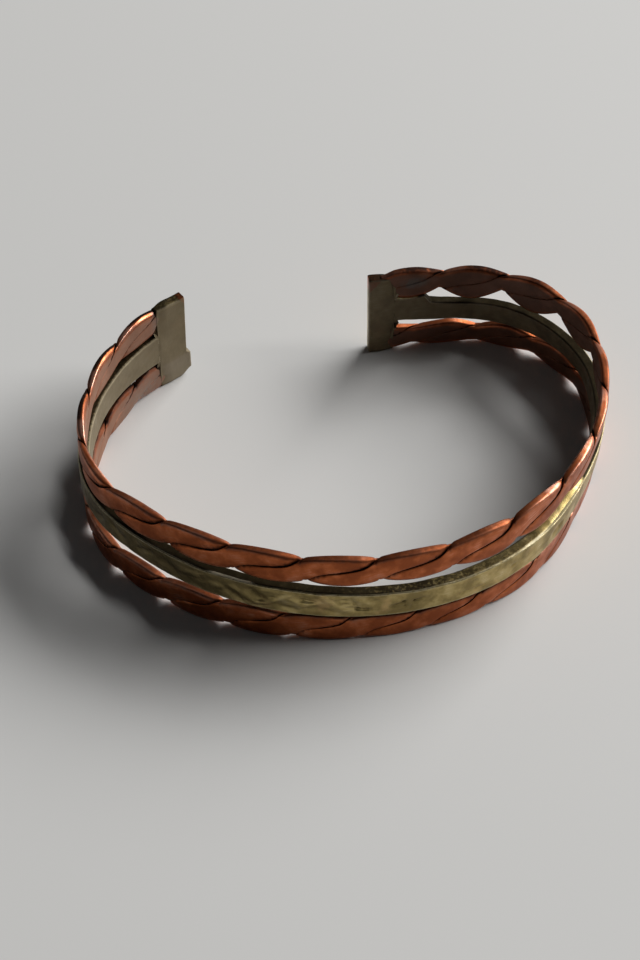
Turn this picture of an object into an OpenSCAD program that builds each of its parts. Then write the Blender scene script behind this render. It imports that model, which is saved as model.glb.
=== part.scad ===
// Open cuff bracelet of flattened two-wire twists and a brass strip, brazed together at both ends.
// It lies on its side: Z is the axis of the wrist, and the gap between the ends faces +Y.

/* [Cuff] */
// Length of the flat blank, from end to end along the middle of the metal
blank_length = 150; // [142:1:158]
// Height of the cuff, which is the width of the band when it is worn
band_height = 12.7; // [12.3:0.1:13.6]

/* [Copper twists] */
// Thickness that the twists are rolled down to
twist_thickness = 1.05; // [0.9:0.05:1.3]
// How many times its usual number of turns each twist has
tightness = 1; // [0.95:0.01:1.05]
// Clearance between the two wires of a twist
wire_gap = 0.15; // [0.12:0.01:0.2]

/* [Brass strip] */
// Thickness of the strip
strip_thickness = 1.4; // [1.2:0.1:1.5]
// Clearance between the wires and the brass
brass_gap = 0.15; // [0.1:0.05:0.3]

/* [Brazed ends] */
// Length of the brazed stretch at the left end
left_end_length = 4.6; // [3:0.1:6]
// Height of the left end
left_end_height = 12.4; // [11.8:0.1:12.6]
// How far the lower twist's own end stands out past the rest of the left end
tab_length = 0.6; // [0.4:0.1:1.5]
// Height of that tab
tab_height = 3.4; // [2:0.1:3.8]
// Length of the brazed stretch at the right end
right_end_length = 3; // [2.5:0.1:6]
// Height of the right end
right_end_height = 11.8; // [11.2:0.1:12.3]
// How much thicker than the strip the brazed stretches are
end_extra = 0.1; // [0.1:0.05:0.3]

/* [Hidden] */
$fn = 64;

copper = [0.55, 0.30, 0.20];
dark_copper = [0.46, 0.25, 0.17];
brass = [0.62, 0.57, 0.38];

// The bends that shape the oval, from the left end round the front to the right end.
// share is the bend's part of the blank in percent, turn the angle that it bends through.
share = 0;
turn = 1;
BENDS = [
    [17.7, 60],
    [7.6, 42],
    [15.4, 37],
    [16.3, 43],
    [21.0, 63],
    [15.7, 88],
    [6.3, 1]
];
start_heading = -155;
percent = 100;
last_bend = len(BENDS) - 1;

function bend_length(i) = blank_length * BENDS[i][share] / percent;
function bend_radius(i) = bend_length(i) / (BENDS[i][turn] * PI / 180);

// Point reached from p, at heading h, after an angle a on a left-hand bend of radius r.
function along(p, h, r, a) = p + r * [sin(h + a) - sin(h), cos(h) - cos(h + a)];

// Where each bend starts: its distance along the blank, its point and its heading.
BEND_STARTS = [
    for (
        i = 0, s = 0, p = [0, 0], h = start_heading;
        i <= last_bend;
        s = s + bend_length(i),
        p = along(p, h, bend_radius(i), BENDS[i][turn]),
        h = h + BENDS[i][turn],
        i = i + 1
    ) [s, p, h]
];
function bend_at(s, i = last_bend) = i == 0 || s >= BEND_STARTS[i][0] ? i : bend_at(s, i - 1);

// Heading, and the middle of the metal, at a distance s along the blank.
function turned(s, i) = (s - BEND_STARTS[i][0]) / bend_radius(i) * 180 / PI;
function heading(s) = let (i = bend_at(s)) BEND_STARTS[i][2] + turned(s, i);
function raw_point(s) =
    let (i = bend_at(s), b = BEND_STARTS[i])
    along(b[1], b[2], bend_radius(i), turned(s, i));
function outward(s) = [sin(heading(s)), -cos(heading(s))];

// A value that changes along the blank, read from a column of a table whose first column is
// the place in percent of the blank.
along_share = 0;
function by_table(table, column, s) =
    lookup(percent * s / blank_length, [for (row = table) [row[along_share], row[column]]]);

// The heights in the tables below are those of a cuff of this height.
table_height = 12.7;
stretch = band_height / table_height;

// The band tilts: how far its foot, and its upper edge, are set in, in mm.
foot_in = 1;
top_in = 2;
TILT = [
    [16, 0, 0],
    [21, -0.1, 0.2],
    [27, -0.6, 0.6],
    [36, -0.5, 0.5],
    [45, -0.2, 0.2],
    [50, -0.2, 0],
    [57, -0.2, 0],
    [61, 0.4, 0],
    [66, 1.2, 0],
    [69, 1.1, 0],
    [74, 0.5, 0],
    [80, 0, 0]
];
function set_in(s, height) =
    by_table(TILT, foot_in, s) * (1 - height) + by_table(TILT, top_in, s) * height;

// A point in plan: s along the blank, n outwards from its middle, at the height z.
function plan_point(s, n, z) = raw_point(s) + outward(s) * (n - set_in(s, z / band_height));

// The box of the whole plan, used to put the origin in the middle of it.
plan_step = 0.5;
PLAN = [
    for (s = [0 : plan_step : blank_length], side = [-1, 1], z = [0, band_height])
        plan_point(s, side * strip_thickness / 2, z)
];
plan_x = [for (p = PLAN) p[0]];
plan_y = [for (p = PLAN) p[1]];
centre = [max(plan_x) + min(plan_x), max(plan_y) + min(plan_y)] / 2;

// A point of the metal.
function metal(s, n, z) = let (p = plan_point(s, n, z) - centre) [p[0], p[1], z];

// Closes a chain of rings, each of the same number of points, into one solid.
module sweep(rings) {
    sides = len(rings[0]);
    last = len(rings) - 1;
    walls = [
        for (i = [0 : last - 1], j = [0 : sides - 1])
            let (a = i * sides + j, b = i * sides + (j + 1) % sides)
            each [[a, b, a + sides], [b, b + sides, a + sides]]
    ];
    first_cap = [for (j = [sides - 1 : -1 : 0]) j];
    last_cap = [for (j = [0 : sides - 1]) last * sides + j];
    polyhedron(points = [for (r = rings) each r], faces = concat([first_cap], walls, [last_cap]));
}

// The twists. A bump is where the wires lie one above the other, a notch is where they cross.
// low_edge and high_edge are a twist's lower and upper edge over its bumps, notch_height is its
// height at a notch, roundness how slowly a bump falls off to its notches, and notch_lift how far
// a notch's middle lies above the middle of the bumps.
low_edge = 1;
high_edge = 2;
notch_height = 3;
roundness = 4;
notch_lift = 5;
UPPER_TWIST = [
    [0, 8.8, 12.7, 2.5, 0.8, 0],
    [20, 8.8, 12.7, 2.5, 0.7, 0],
    [28, 8.6, 12.7, 2.7, 0.5, 0],
    [34, 8.6, 12.7, 2.7, 0.5, 0],
    [40, 8.5, 12.6, 2.7, 0.5, 0],
    [51, 8.5, 12.6, 2.7, 0.5, 0],
    [54, 8.1, 12.6, 2.7, 0.5, 0],
    [57, 7.9, 12.7, 2.6, 0.5, 0],
    [60, 8.5, 12.7, 2.5, 0.5, 0],
    [65, 8.7, 12.7, 2.5, 0.6, 0],
    [72, 8.4, 12.6, 2.3, 0.7, 0.2],
    [78, 7.3, 12.1, 2.2, 1, 0.7],
    [86, 7.1, 12.1, 2.2, 1, 0.8],
    [93, 7.2, 12.1, 2.2, 1, 0.7],
    [96, 8.2, 12.6, 2.3, 0.9, 0.3],
    [100, 8.4, 12.5, 2.2, 1, 0.2]
];
LOWER_TWIST = [
    [0, 0, 3.9, 2.4, 0.8, 0],
    [25, 0, 3.8, 2.4, 0.6, 0],
    [33, 0, 3.8, 2.5, 0.5, 0],
    [37, 0, 3.9, 2.7, 0.5, 0],
    [41, 0, 3.8, 2.7, 0.5, 0],
    [44, 0, 3.5, 2.6, 0.5, 0],
    [50, 0, 3.2, 2.4, 0.5, 0],
    [60, 0, 3.2, 2.4, 0.5, 0],
    [64, 0, 3.9, 2.5, 0.6, 0],
    [70, 0, 3.7, 2.4, 0.7, 0],
    [80, 0, 3.7, 2.3, 1, 0],
    [88, 0, 3.7, 2.3, 1, 0],
    [91, 0, 3.3, 2.2, 1, -0.3],
    [94, 0, 3.4, 2.2, 1, 0],
    [96, 0, 3.3, 2.3, 1, 0.3],
    [100, 0, 3.9, 2.4, 1, 0]
];

// Half turns made so far along each twist: a whole number is a notch.
half_turns = 1;
UPPER_TURNS = [
    [0, -0.45],
    [86, 15.46],
    [100, 18.1]
];
LOWER_TURNS = [
    [0, -0.3],
    [29.5, 6.02],
    [54, 11.02],
    [86, 17],
    [100, 19.7]
];
// How far a twist's lower edge is ahead of its upper edge, for each mm between them.
upper_slant = 0.12;
lower_slant = 0.2;
slant_start = 3;
function turns_at(turns, s) = tightness * by_table(turns, half_turns, s);
function place_of(turns, count) =
    blank_length / percent
        * lookup(count / tightness, [for (row = turns) [row[half_turns], row[along_share]]]);

function bump_half(form, s) =
    stretch * (by_table(form, high_edge, s) - by_table(form, low_edge, s)) / 2;
function notch_half(form, s) = stretch * by_table(form, notch_height, s) / 2;
function twist_middle(form, s) =
    stretch * (by_table(form, high_edge, s) + by_table(form, low_edge, s)) / 2;

wires_start = left_end_length + brass_gap;
wires_end = blank_length - right_end_length - brass_gap;
// Where the sections of a wire lie in a bump, from its first notch: closer beside the notches.
RING_SPOTS = [0, 0.06, 0.15, 0.26, 0.38, 0.5, 0.62, 0.74, 0.85, 0.94];
corner_power = 6;
// Angles round a wire's section, two beside each corner and one on each broad face.
SECTION = [0, 38, 62, 118, 142, 180, 218, 242, 298, 322];

// How far the twist has grown from a notch, at 0, to a bump, at 1, where it has turned by a.
function rise(form, s, a) = pow(abs(sin(a)), by_table(form, roundness, s));
function half_height(form, s, a) =
    notch_half(form, s) + (bump_half(form, s) - notch_half(form, s)) * rise(form, s, a);
function middle_height(form, s, a) =
    twist_middle(form, s) + stretch * by_table(form, notch_lift, s) * (1 - rise(form, s, a));

// Reach from the middle of a wire's section towards d, inside the flats and the seam.
function flat_pull(facing, d, room) = pow(max(0, facing * d) / room, corner_power);

// One wire's section as points [n, z]. It fills its own side of the seam, and the seam turns
// with the twist. side is the angle at which the wire lies from the middle of the twist. Past a
// notch, the wire that goes under stays below the notch while the other one rises.
function wire_section(hh, notch, side) =
    let (
        hn = twist_thickness / 2,
        dir = [cos(side), sin(side)],
        c = [hn / 2 * dir[0], hh / 2 * dir[1]],
        room_seam = c * dir - wire_gap / 2,
        wide = hn / 2 * (1 + abs(dir[1])),
        tall = hh / 2 * (1 + abs(dir[0])),
        room_above = (dir[1] < 0 ? notch : hh) - c[1],
        room_below = (dir[1] > 0 ? notch : hh) + c[1]
    )
    [
        for (b = SECTION)
            let (
                v = [wide * cos(b), tall * sin(b)],
                d = v / norm(v),
                pull = flat_pull([1, 0], d, hn - c[0]) + flat_pull([-1, 0], d, hn + c[0])
                    + flat_pull([0, 1], d, room_above) + flat_pull([0, -1], d, room_below)
                    + flat_pull(-dir, d, room_seam)
            )
            c + d / pow(pull, 1 / corner_power)
    ];

function wire_ring(form, turns, slant, s, side) =
    let (
        a = 180 * turns_at(turns, s),
        middle = middle_height(form, s, a),
        lean = slant * min(1, (s - wires_start) / slant_start, (wires_end - s) / slant_start)
    )
    [
        for (p = wire_section(half_height(form, s, a), notch_half(form, s), a + side))
            metal(s - lean * p[1], p[0], middle + p[1])
    ];

module wire(form, turns, slant, side) {
    last_turn = ceil(turns_at(turns, blank_length));
    places = concat(
        [wires_start],
        [for (i = [0 : last_turn], spot = RING_SPOTS) let (s = place_of(turns, i + spot))
            if (s > wires_start + brass_gap && s < wires_end - brass_gap) s],
        [wires_end]
    );
    sweep([for (s = places) wire_ring(form, turns, slant, s, side)]);
}

// The two wires of a twist lie on opposite sides of its seam.
wire_a_side = 0;
wire_b_side = 180;

module upper_wire_a() {
    color(copper) wire(UPPER_TWIST, UPPER_TURNS, upper_slant, wire_a_side);
}

module upper_wire_b() {
    color(dark_copper) wire(UPPER_TWIST, UPPER_TURNS, upper_slant, wire_b_side);
}

module lower_wire_a() {
    color(copper) wire(LOWER_TWIST, LOWER_TURNS, lower_slant, wire_a_side);
}

module lower_wire_b() {
    color(dark_copper) wire(LOWER_TWIST, LOWER_TURNS, lower_slant, wire_b_side);
}

// The strip was bent by hand: it wanders between the twists, and it is hammered wider at its ends.
strip_low = 1;
strip_high = 2;
STRIP_EDGES = [
    [0, 4.2, 8.5],
    [5, 4.4, 8.5],
    [9, 5.1, 8.5],
    [14, 5.3, 8.6],
    [22, 5.6, 8.7],
    [26, 5.6, 8.5],
    [30, 5, 8.1],
    [34, 4.6, 8],
    [38, 4.2, 7.9],
    [42, 3.9, 7.6],
    [46, 3.6, 7.2],
    [50, 3.4, 6.9],
    [54, 3.3, 6.7],
    [58, 3.6, 6.9],
    [60, 3.4, 7.1],
    [62, 4, 7.8],
    [64, 4.4, 8.2],
    [67, 4.4, 8],
    [70, 4, 7.4],
    [74, 3.8, 6.9],
    [79, 3.8, 6.2],
    [82, 3.8, 6.1],
    [85, 3.8, 6.4],
    [88, 3.9, 6.8],
    [91, 4, 6.7],
    [94, 4.2, 6.8],
    [95.6, 4.6, 8],
    [97, 4.8, 8.3],
    [100, 4.9, 8.5]
];

// Top and bottom of the strip, kept clear of the twists above and below it.
function strip_top(s) =
    min(
        stretch * by_table(STRIP_EDGES, strip_high, s),
        twist_middle(UPPER_TWIST, s) - bump_half(UPPER_TWIST, s) - brass_gap
    );
function strip_bottom(s) =
    max(
        stretch * by_table(STRIP_EDGES, strip_low, s),
        twist_middle(LOWER_TWIST, s) + bump_half(LOWER_TWIST, s) + brass_gap
    );

strip_corner = 0.18;
strip_ring_step = 2;
strip_overlap = 1;
function strip_ring(s) =
    let (n = strip_thickness / 2, c = strip_corner, top = strip_top(s), bottom = strip_bottom(s))
    [
        for (p = [
            [n, bottom + c], [n, top - c], [n - c, top], [c - n, top],
            [-n, top - c], [-n, bottom + c], [c - n, bottom], [n - c, bottom]
        ])
            metal(s, p[0], p[1])
    ];

// A block that follows the bend at the blank's distance s_from, up to s_to.
module bent_block(s_from, s_to, thickness, bottom, top) {
    i = bend_at(s_from);
    r = bend_radius(i);
    hub = BEND_STARTS[i][1] - start_outward(i) * r - centre;
    translate([hub[0], hub[1], bottom])
        rotate([0, 0, heading(s_from) - 90])
            rotate_extrude(angle = turned(s_to, i) - turned(s_from, i))
                translate([r - thickness / 2, 0])
                    square([thickness, top - bottom]);
}
function start_outward(i) = [sin(BEND_STARTS[i][2]), -cos(BEND_STARTS[i][2])];

// A brazed end is one plate of full height. At the left end it is cut back above the tab.
end_thickness = strip_thickness + end_extra;
cut_margin = 1;
module left_end() {
    difference() {
        bent_block(0, left_end_length, end_thickness, 0, left_end_height);
        bent_block(
            -cut_margin, tab_length, end_thickness + cut_margin,
            tab_height, left_end_height + cut_margin
        );
    }
}

right_end_start = blank_length - right_end_length;
module right_end() {
    bent_block(right_end_start, blank_length, end_thickness, 0, right_end_height);
}

module strip_between(s_from, s_to) {
    steps = round((s_to - s_from) / strip_ring_step);
    sweep([for (i = [0 : steps]) strip_ring(s_from + (s_to - s_from) * i / steps)]);
}

module brass_strip() {
    color(brass) {
        left_end();
        strip_between(left_end_length - strip_overlap, right_end_start + strip_overlap);
        right_end();
    }
}

upper_wire_a();
upper_wire_b();
brass_strip();
lower_wire_a();
lower_wire_b();
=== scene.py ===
import math

import bmesh
import bpy
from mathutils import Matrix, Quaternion, Vector, noise


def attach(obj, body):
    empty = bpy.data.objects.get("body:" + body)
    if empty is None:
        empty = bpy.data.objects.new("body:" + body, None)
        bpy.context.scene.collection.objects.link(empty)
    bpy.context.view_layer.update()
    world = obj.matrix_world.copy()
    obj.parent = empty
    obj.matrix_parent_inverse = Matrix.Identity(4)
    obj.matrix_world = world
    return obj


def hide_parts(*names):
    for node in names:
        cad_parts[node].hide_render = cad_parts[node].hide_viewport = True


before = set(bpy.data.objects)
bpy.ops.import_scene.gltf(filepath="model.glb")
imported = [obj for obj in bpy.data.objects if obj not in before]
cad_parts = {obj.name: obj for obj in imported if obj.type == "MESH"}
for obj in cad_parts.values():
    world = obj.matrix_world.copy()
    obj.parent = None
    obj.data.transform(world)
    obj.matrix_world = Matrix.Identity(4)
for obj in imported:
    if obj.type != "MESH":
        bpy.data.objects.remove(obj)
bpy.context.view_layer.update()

# The viewing place: the cuff lies on its side with its gap away from the camera, which looks
# down on it at 47 degrees from a little to the left of its middle.
MM = 0.001
CAMERA_AT = (-32.24, -170.12, 186.63)
CAMERA_LOOKS_AT = (-3.46, 1.15, 0)
CAMERA_ROLL = -1.03
CAMERA_LENS = 81.1
SENSOR_LONG_SIDE = 36

scene = bpy.context.scene
scene.view_settings.view_transform = "Standard"

camera = bpy.data.objects.new("camera", bpy.data.cameras.new("camera"))
camera.data.lens = CAMERA_LENS
camera.data.sensor_width = SENSOR_LONG_SIDE
camera.data.clip_start = 1 * MM
camera.data.clip_end = 10
camera.location = Vector(CAMERA_AT) * MM
camera.rotation_mode = "QUATERNION"
sight = (Vector(CAMERA_LOOKS_AT) - Vector(CAMERA_AT)).to_track_quat("-Z", "Y")
camera.rotation_quaternion = sight @ Quaternion((0, 0, 1), math.radians(CAMERA_ROLL))
scene.collection.objects.link(camera)
scene.camera = camera

# The upper twist: two copper wires of about 2 mm, twisted together to the left and rolled flat,
# so that the seam between them runs in long S curves from one notch of the edge to the next.
# It is bent to the oval with the rest of the flat blank, and both its ends are brazed in.
BLANK_LENGTH = 150
BAND_HEIGHT = 12.7
STRIP_THICKNESS = 1.4
# The bends of the blank from the left end round the front: percent of its length, degrees.
BENDS = (
    (17.7, 60),
    (7.6, 42),
    (15.4, 37),
    (16.3, 43),
    (21.0, 63),
    (15.7, 88),
    (6.3, 1),
)
START_HEADING = -155
# How far in mm the band is set in from the plain oval, by percent along the blank, at its foot
# and at its top.
FOOT_IN, TOP_IN = 1, 2
TILT = (
    (16, 0, 0),
    (21, -0.1, 0.2),
    (27, -0.6, 0.6),
    (36, -0.5, 0.5),
    (45, -0.2, 0.2),
    (50, -0.2, 0),
    (57, -0.2, 0),
    (61, 0.4, 0),
    (66, 1.2, 0),
    (69, 1.1, 0),
    (74, 0.5, 0),
    (80, 0, 0),
)


def bent_place(s):
    """Middle of the metal in plan, and the direction out of the oval, s mm along the blank."""
    x = y = start = 0
    heading = math.radians(START_HEADING)
    for share, turn in BENDS:
        length = BLANK_LENGTH * share / 100
        radius = length / math.radians(turn)
        last_bend = (share, turn) == BENDS[-1]
        step = s - start if last_bend or s < start + length else length
        if start == 0 and s < 0:
            step = s
        end = heading + step / radius
        x += radius * (math.sin(end) - math.sin(heading))
        y += radius * (math.cos(heading) - math.cos(end))
        heading = end
        start += length
        if s <= start:
            break
    return Vector((x, y)), Vector((math.sin(heading), -math.cos(heading)))


def table_value(table, column, at):
    """A column of a table, read between its rows where the first column would be at."""
    if at <= table[0][0]:
        return table[0][column]
    for before, after in zip(table, table[1:]):
        if at <= after[0]:
            part = (at - before[0]) / (after[0] - before[0])
            return before[column] + part * (after[column] - before[column])
    return table[-1][column]


EASE = 1.5


def eased(table, column, s):
    """A column of a table by percent of the blank, at s mm, with its corners eased."""
    share = 100 * s / BLANK_LENGTH
    return sum(table_value(table, column, share + step) for step in (-EASE, 0, EASE)) / 3


def plan_point(s, n, height):
    """Place in plan, n mm out from the middle of the metal, at a part of the band's height."""
    place, outward = bent_place(s)
    set_in = eased(TILT, FOOT_IN, s) * (1 - height) + eased(TILT, TOP_IN, s) * height
    return place + outward * (n - set_in)


PLAN_STEP = 0.5
edge_points = [
    plan_point(step * PLAN_STEP, side * STRIP_THICKNESS / 2, height)
    for step in range(int(BLANK_LENGTH / PLAN_STEP) + 1)
    for side in (-1, 1)
    for height in (0, 1)
]
plan_middle = Vector(
    [(max(p[axis] for p in edge_points) + min(p[axis] for p in edge_points)) / 2 for axis in (0, 1)]
)


def metal(s, n, z):
    """Place of a bit of metal: s mm along the blank, n mm out from its middle, z mm up."""
    height = z / BAND_HEIGHT
    flat = plan_point(s, n, height) - plan_middle
    lean = (eased(TILT, FOOT_IN, s) - eased(TILT, TOP_IN, s)) / BAND_HEIGHT
    return Vector((flat.x, flat.y, z - n * lean * height)) * MM


# Each seed reads the noise along a line of its own, this far beside the one before it.
SEEDS_APART = (7.3, 3.1)


def wander(seed, s, pace):
    """A slow hand-made unevenness between about -1 and 1 that changes every pace mm."""
    return noise.noise(Vector((s / pace, seed * SEEDS_APART[0], seed * SEEDS_APART[1])))


def uneven(layers, s):
    """Several of them together: each is its seed, how much it is and its pace in mm."""
    return sum(much * wander(seed, s, pace) for seed, much, pace in layers)


# Points nearer to each other than this, in metres, are one.
SAME_PLACE = 1e-7


def tube(name, rows, around, place, girth, marks):
    """A closed skin of rings. place(row, column) gives a point, its s and its marks' values."""
    skin = bmesh.new()
    unwrapped = skin.loops.layers.uv.new("along")
    layers = [skin.verts.layers.float.new(mark) for mark in marks]
    bmesh.ops.create_grid(skin, x_segments=around, y_segments=rows, size=1)
    along = {}
    for vert in skin.verts:
        column = round((vert.co.x + 1) / 2 * around)
        row = round((vert.co.y + 1) / 2 * rows)
        vert.co, s, values = place(row, column)
        for layer, value in zip(layers, values):
            vert[layer] = value
        along[vert] = (s, girth * column / around)
    for face in skin.faces:
        face.smooth = True
        for loop in face.loops:
            loop[unwrapped].uv = along[loop.vert]
    bmesh.ops.remove_doubles(skin, verts=skin.verts, dist=SAME_PLACE)
    rims = [edge for edge in skin.edges if edge.is_boundary]
    bmesh.ops.holes_fill(skin, edges=rims, sides=0)
    bmesh.ops.recalc_face_normals(skin, faces=skin.faces)
    mesh = bpy.data.meshes.new(name)
    skin.to_mesh(mesh)
    skin.free()
    piece = bpy.data.objects.new(name, mesh)
    scene.collection.objects.link(piece)
    return piece


TWIST_THICKNESS = 1.05
# The twist's lower and upper edge over its bumps, its height at a notch, how slim its bumps are,
# and how far a notch lies above the middle, by percent along the blank.
LOW_EDGE, HIGH_EDGE, NOTCH_HEIGHT, SLIMNESS, NOTCH_LIFT = 1, 2, 3, 4, 5
UPPER_TWIST = (
    (0, 8.8, 12.7, 2.5, 0.8, 0),
    (20, 8.8, 12.7, 2.5, 0.7, 0),
    (28, 8.6, 12.7, 2.7, 0.5, 0),
    (34, 8.6, 12.7, 2.7, 0.5, 0),
    (40, 8.5, 12.6, 2.7, 0.5, 0),
    (51, 8.5, 12.6, 2.7, 0.5, 0),
    (54, 8.1, 12.6, 2.7, 0.5, 0),
    (57, 7.9, 12.7, 2.6, 0.5, 0),
    (60, 8.5, 12.7, 2.5, 0.5, 0),
    (65, 8.7, 12.7, 2.5, 0.6, 0),
    (72, 8.4, 12.6, 2.3, 0.7, 0.2),
    (78, 7.3, 12.1, 2.2, 1, 0.7),
    (86, 7.1, 12.1, 2.2, 1, 0.8),
    (93, 7.2, 12.1, 2.2, 1, 0.7),
    (96, 8.2, 12.6, 2.3, 0.9, 0.3),
    (100, 8.4, 12.5, 2.2, 1, 0.2),
)
# Half turns made so far, by percent along the blank. A whole number is a notch.
UPPER_TURNS = ((0, -0.45), (86, 15.46), (100, 18.1))
# Over how many mm from a brazed end the slant of the bumps comes in.
SLANT_START = 3
LEFT_END, RIGHT_END = 4.6, 3
CLEARANCE = 0.15
# The wires run on into the braze, where they are hammered a little lower.
BRAZED_IN = 1.0
FLATTENED = 0.1
WIRES_FROM = LEFT_END - BRAZED_IN
WIRES_TO = BLANK_LENGTH - RIGHT_END + BRAZED_IN
RINGS_A_BUMP = 28
POINTS_ROUND = 56
WIRE_DIAMETER = 2
WIRE_GIRTH = math.pi * WIRE_DIAMETER
SEAM_GAP = 0.01
LEAST_SEAM_PULL = 1e-3
# Rings lie closer beside the notches by this part of a bump, and points lie closer to the
# corners by this power.
RING_CROWDING, CORNER_CROWDING = 0.08, 0.6
# How far wear reaches from the corners, and how far down a top goes.
WEAR_REACH, TOP_REACH = 0.4, 0.7
UPPER_SEED = 1
# How squarely a wire is rolled at its bumps and at its notches, how far grime and painted shade
# reach out of the seam, how far the twist's lower edge is ahead of its upper edge for each mm
# between them, and how much the tops are polished before the notches. Then how much painted shade
# the tops get at the left end, how much of that their inner half takes, and how much they get along
# the back, by mm.
UPPER_ROLLING = {
    "bump_corner": 5.5,
    "notch_corner": 2.6,
    "grime_and_shade_reach": 0.2,
    "slant": 0.12,
    "polish": 1,
    "shaded_left": 0.9,
    "shaded_inner_half": 0,
    "shaded_back": ((104, 0), (112, 0.4), (125, 0.4), (131, 0.7)),
}
# The inside was hammered on a round bar: its seam is tight, and its corners are rounder towards
# the ends, by mm along the blank.
INSIDE_SEAM = 12
INSIDE_CORNERS = ((28, 2.3), (38, 5), (105, 5), (115, 4))
# From which to which slope a corner counts as an inside one.
INSIDE_SLOPE = (0, 0.6)
# The inside's own face, as parts of half the thickness, as mm from the edges, and how much less
# grime and painted shade it has.
INSIDE_DEPTH, INSIDE_MARGIN, INSIDE_LESS_GRIME_AND_SHADE = (0.7, 0.95), (0.15, 0.6), 0.7
# The faces' unevenness from the rolls: how much and its pace in mm, coarse and fine, and how far
# along it lies for each mm up.
ROLLED_COARSE, ROLLED_FINE, ROLLED_SLANT = (0.05, 2.6), (0.02, 0.9), 0.8
# Unevenness by hand: how much and its pace in mm.
BUMPS_UNEVEN, NOTCHES_UNEVEN, SEAM_UNEVEN = (0.03, 11), (0.1, 9), (0.12, 6)
# How much the tops were polished where they come down to a notch, by mm along the blank, and the
# stretch of a bump that this is: it starts, is full, fades and ends at these parts of it.
POLISH = ((28, 0.35), (38, 0.08), (82, 0.08), (90, 0.3), (104, 0.25))
BEFORE_NOTCH = (0.5, 0.7, 0.9, 1)
# Where the front's painted shade on the tops and its unworn corners start, are full, fade and end,
# in mm along the blank; where the left end's painted shade on the tops ends and where the back
# begins.
SHADED_FRONT, SHADED_TOPS = (30, 38, 84, 92), 0.5
UNWORN_FRONT, UNWORN = (48, 56, 84, 92), 0.7
LEFT_TOPS_SHADE_ENDS, BACK_BEGINS = (24, 32), (104, 112)
INNER_HALF_ENDS = (-0.2, 0.1)


def drawn_out(value):
    """Moves a point round a section towards its corners."""
    return math.copysign(abs(value) ** CORNER_CROWDING, value)


def smooth_step(low, high, value):
    part = min(1, max(0, (value - low) / (high - low)))
    return part * part * (3 - 2 * part)


def between(starts, full, fades, ends, value):
    """1 where the value is between full and fades, and 0 outside starts and ends."""
    return smooth_step(starts, full, value) * (1 - smooth_step(fades, ends, value))


def twist_section(half_height, notch, angle, rolling, inside_corner, seed, s):
    """One wire's outline (n, z) with its marks; the seam turns with the twist."""
    half_thick = TWIST_THICKNESS / 2
    toward = Vector((math.cos(angle), math.sin(angle)))
    middle = Vector((half_thick * toward.x, half_height * toward.y)) / 2
    wide = half_thick / 2 * (1 + abs(toward.y))
    tall = half_height / 2 * (1 + abs(toward.x))
    corner = rolling["notch_corner"]
    corner += (rolling["bump_corner"] - corner) * toward.y**2
    # Past a notch, the wire that goes under stays below the notch while the other one rises.
    walls = (
        (Vector((1, 0)), half_thick - middle.x),
        (Vector((-1, 0)), half_thick + middle.x),
        (Vector((0, 1)), (notch if toward.y < 0 else half_height) - middle.y),
        (Vector((0, -1)), (notch if toward.y > 0 else half_height) + middle.y),
    )

    def pull_of_walls(way):
        """Pull of the rolled faces in a direction, and how sharply the seam cuts into them."""
        slope = -way.x / wide / math.hypot(way.x / wide, way.y / tall)
        inwards = smooth_step(*INSIDE_SLOPE, slope)
        power = corner + (inside_corner - corner) * inwards
        pull = sum((max(0, facing.dot(way)) / room) ** power for facing, room in walls)
        return pull ** (1 / power), corner + (INSIDE_SEAM - corner) * inwards

    # The wires touch at the middle of the seam, however round their corners are.
    held, sharp = pull_of_walls(-toward)
    to_seam = middle.dot(toward) - SEAM_GAP / 2
    seam_pull = max(LEAST_SEAM_PULL, to_seam**-sharp - held**sharp) ** (1 / sharp)
    for column in range(POINTS_ROUND + 1):
        turn = 2 * math.pi * column / POINTS_ROUND
        way = Vector((wide * drawn_out(math.cos(turn)), tall * drawn_out(math.sin(turn))))
        way.normalize()
        pull, sharp = pull_of_walls(way)
        pull = (pull**sharp + (max(0, -toward.dot(way)) * seam_pull) ** sharp) ** (1 / sharp)
        point = middle + way / pull
        off_face = half_thick - abs(point.x)
        off_edge = half_height - abs(point.y)
        inside = smooth_step(*INSIDE_DEPTH, -point.x / half_thick)
        inside *= smooth_step(*INSIDE_MARGIN, off_edge)
        # Grime and painted shade in the seam, with less of both on the inside's face.
        grime_and_shade = max(0, 1 - point.dot(toward) / rolling["grime_and_shade_reach"])
        grime_and_shade *= 1 - INSIDE_LESS_GRIME_AND_SHADE * inside
        wear = max(0, 1 - math.hypot(off_face, off_edge) / WEAR_REACH) * (1 - grime_and_shade)
        top = max(0, 1 - (half_height - point.y) / TOP_REACH)
        rolled = uneven([(seed, *ROLLED_COARSE)], s + ROLLED_SLANT * point.y)
        rolled += uneven([(seed + 5, *ROLLED_FINE)], s)
        point.x *= 1 - abs(rolled)
        yield point, grime_and_shade, wear, top, inside


# Solder that ran onto the twists: mm along, mm up, which face, length and height in mm, how much.
SOLDER_RUNS = (
    (4.6, 10.6, -1, 1.5, 3.0, 0.7),
    (144.4, 10.6, -1, 2.6, 1.2, 1.0),
    (8.0, 1.5, -1, 9.0, 3.5, 0.6),
)


def soldered(s, n, z):
    """How much of the copper is under solder there."""
    return max(
        much * max(0, 1 - math.hypot((s - at) / length, (z - up) / tall)) if n * face > 0 else 0
        for at, up, face, length, tall, much in SOLDER_RUNS
    )


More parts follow.
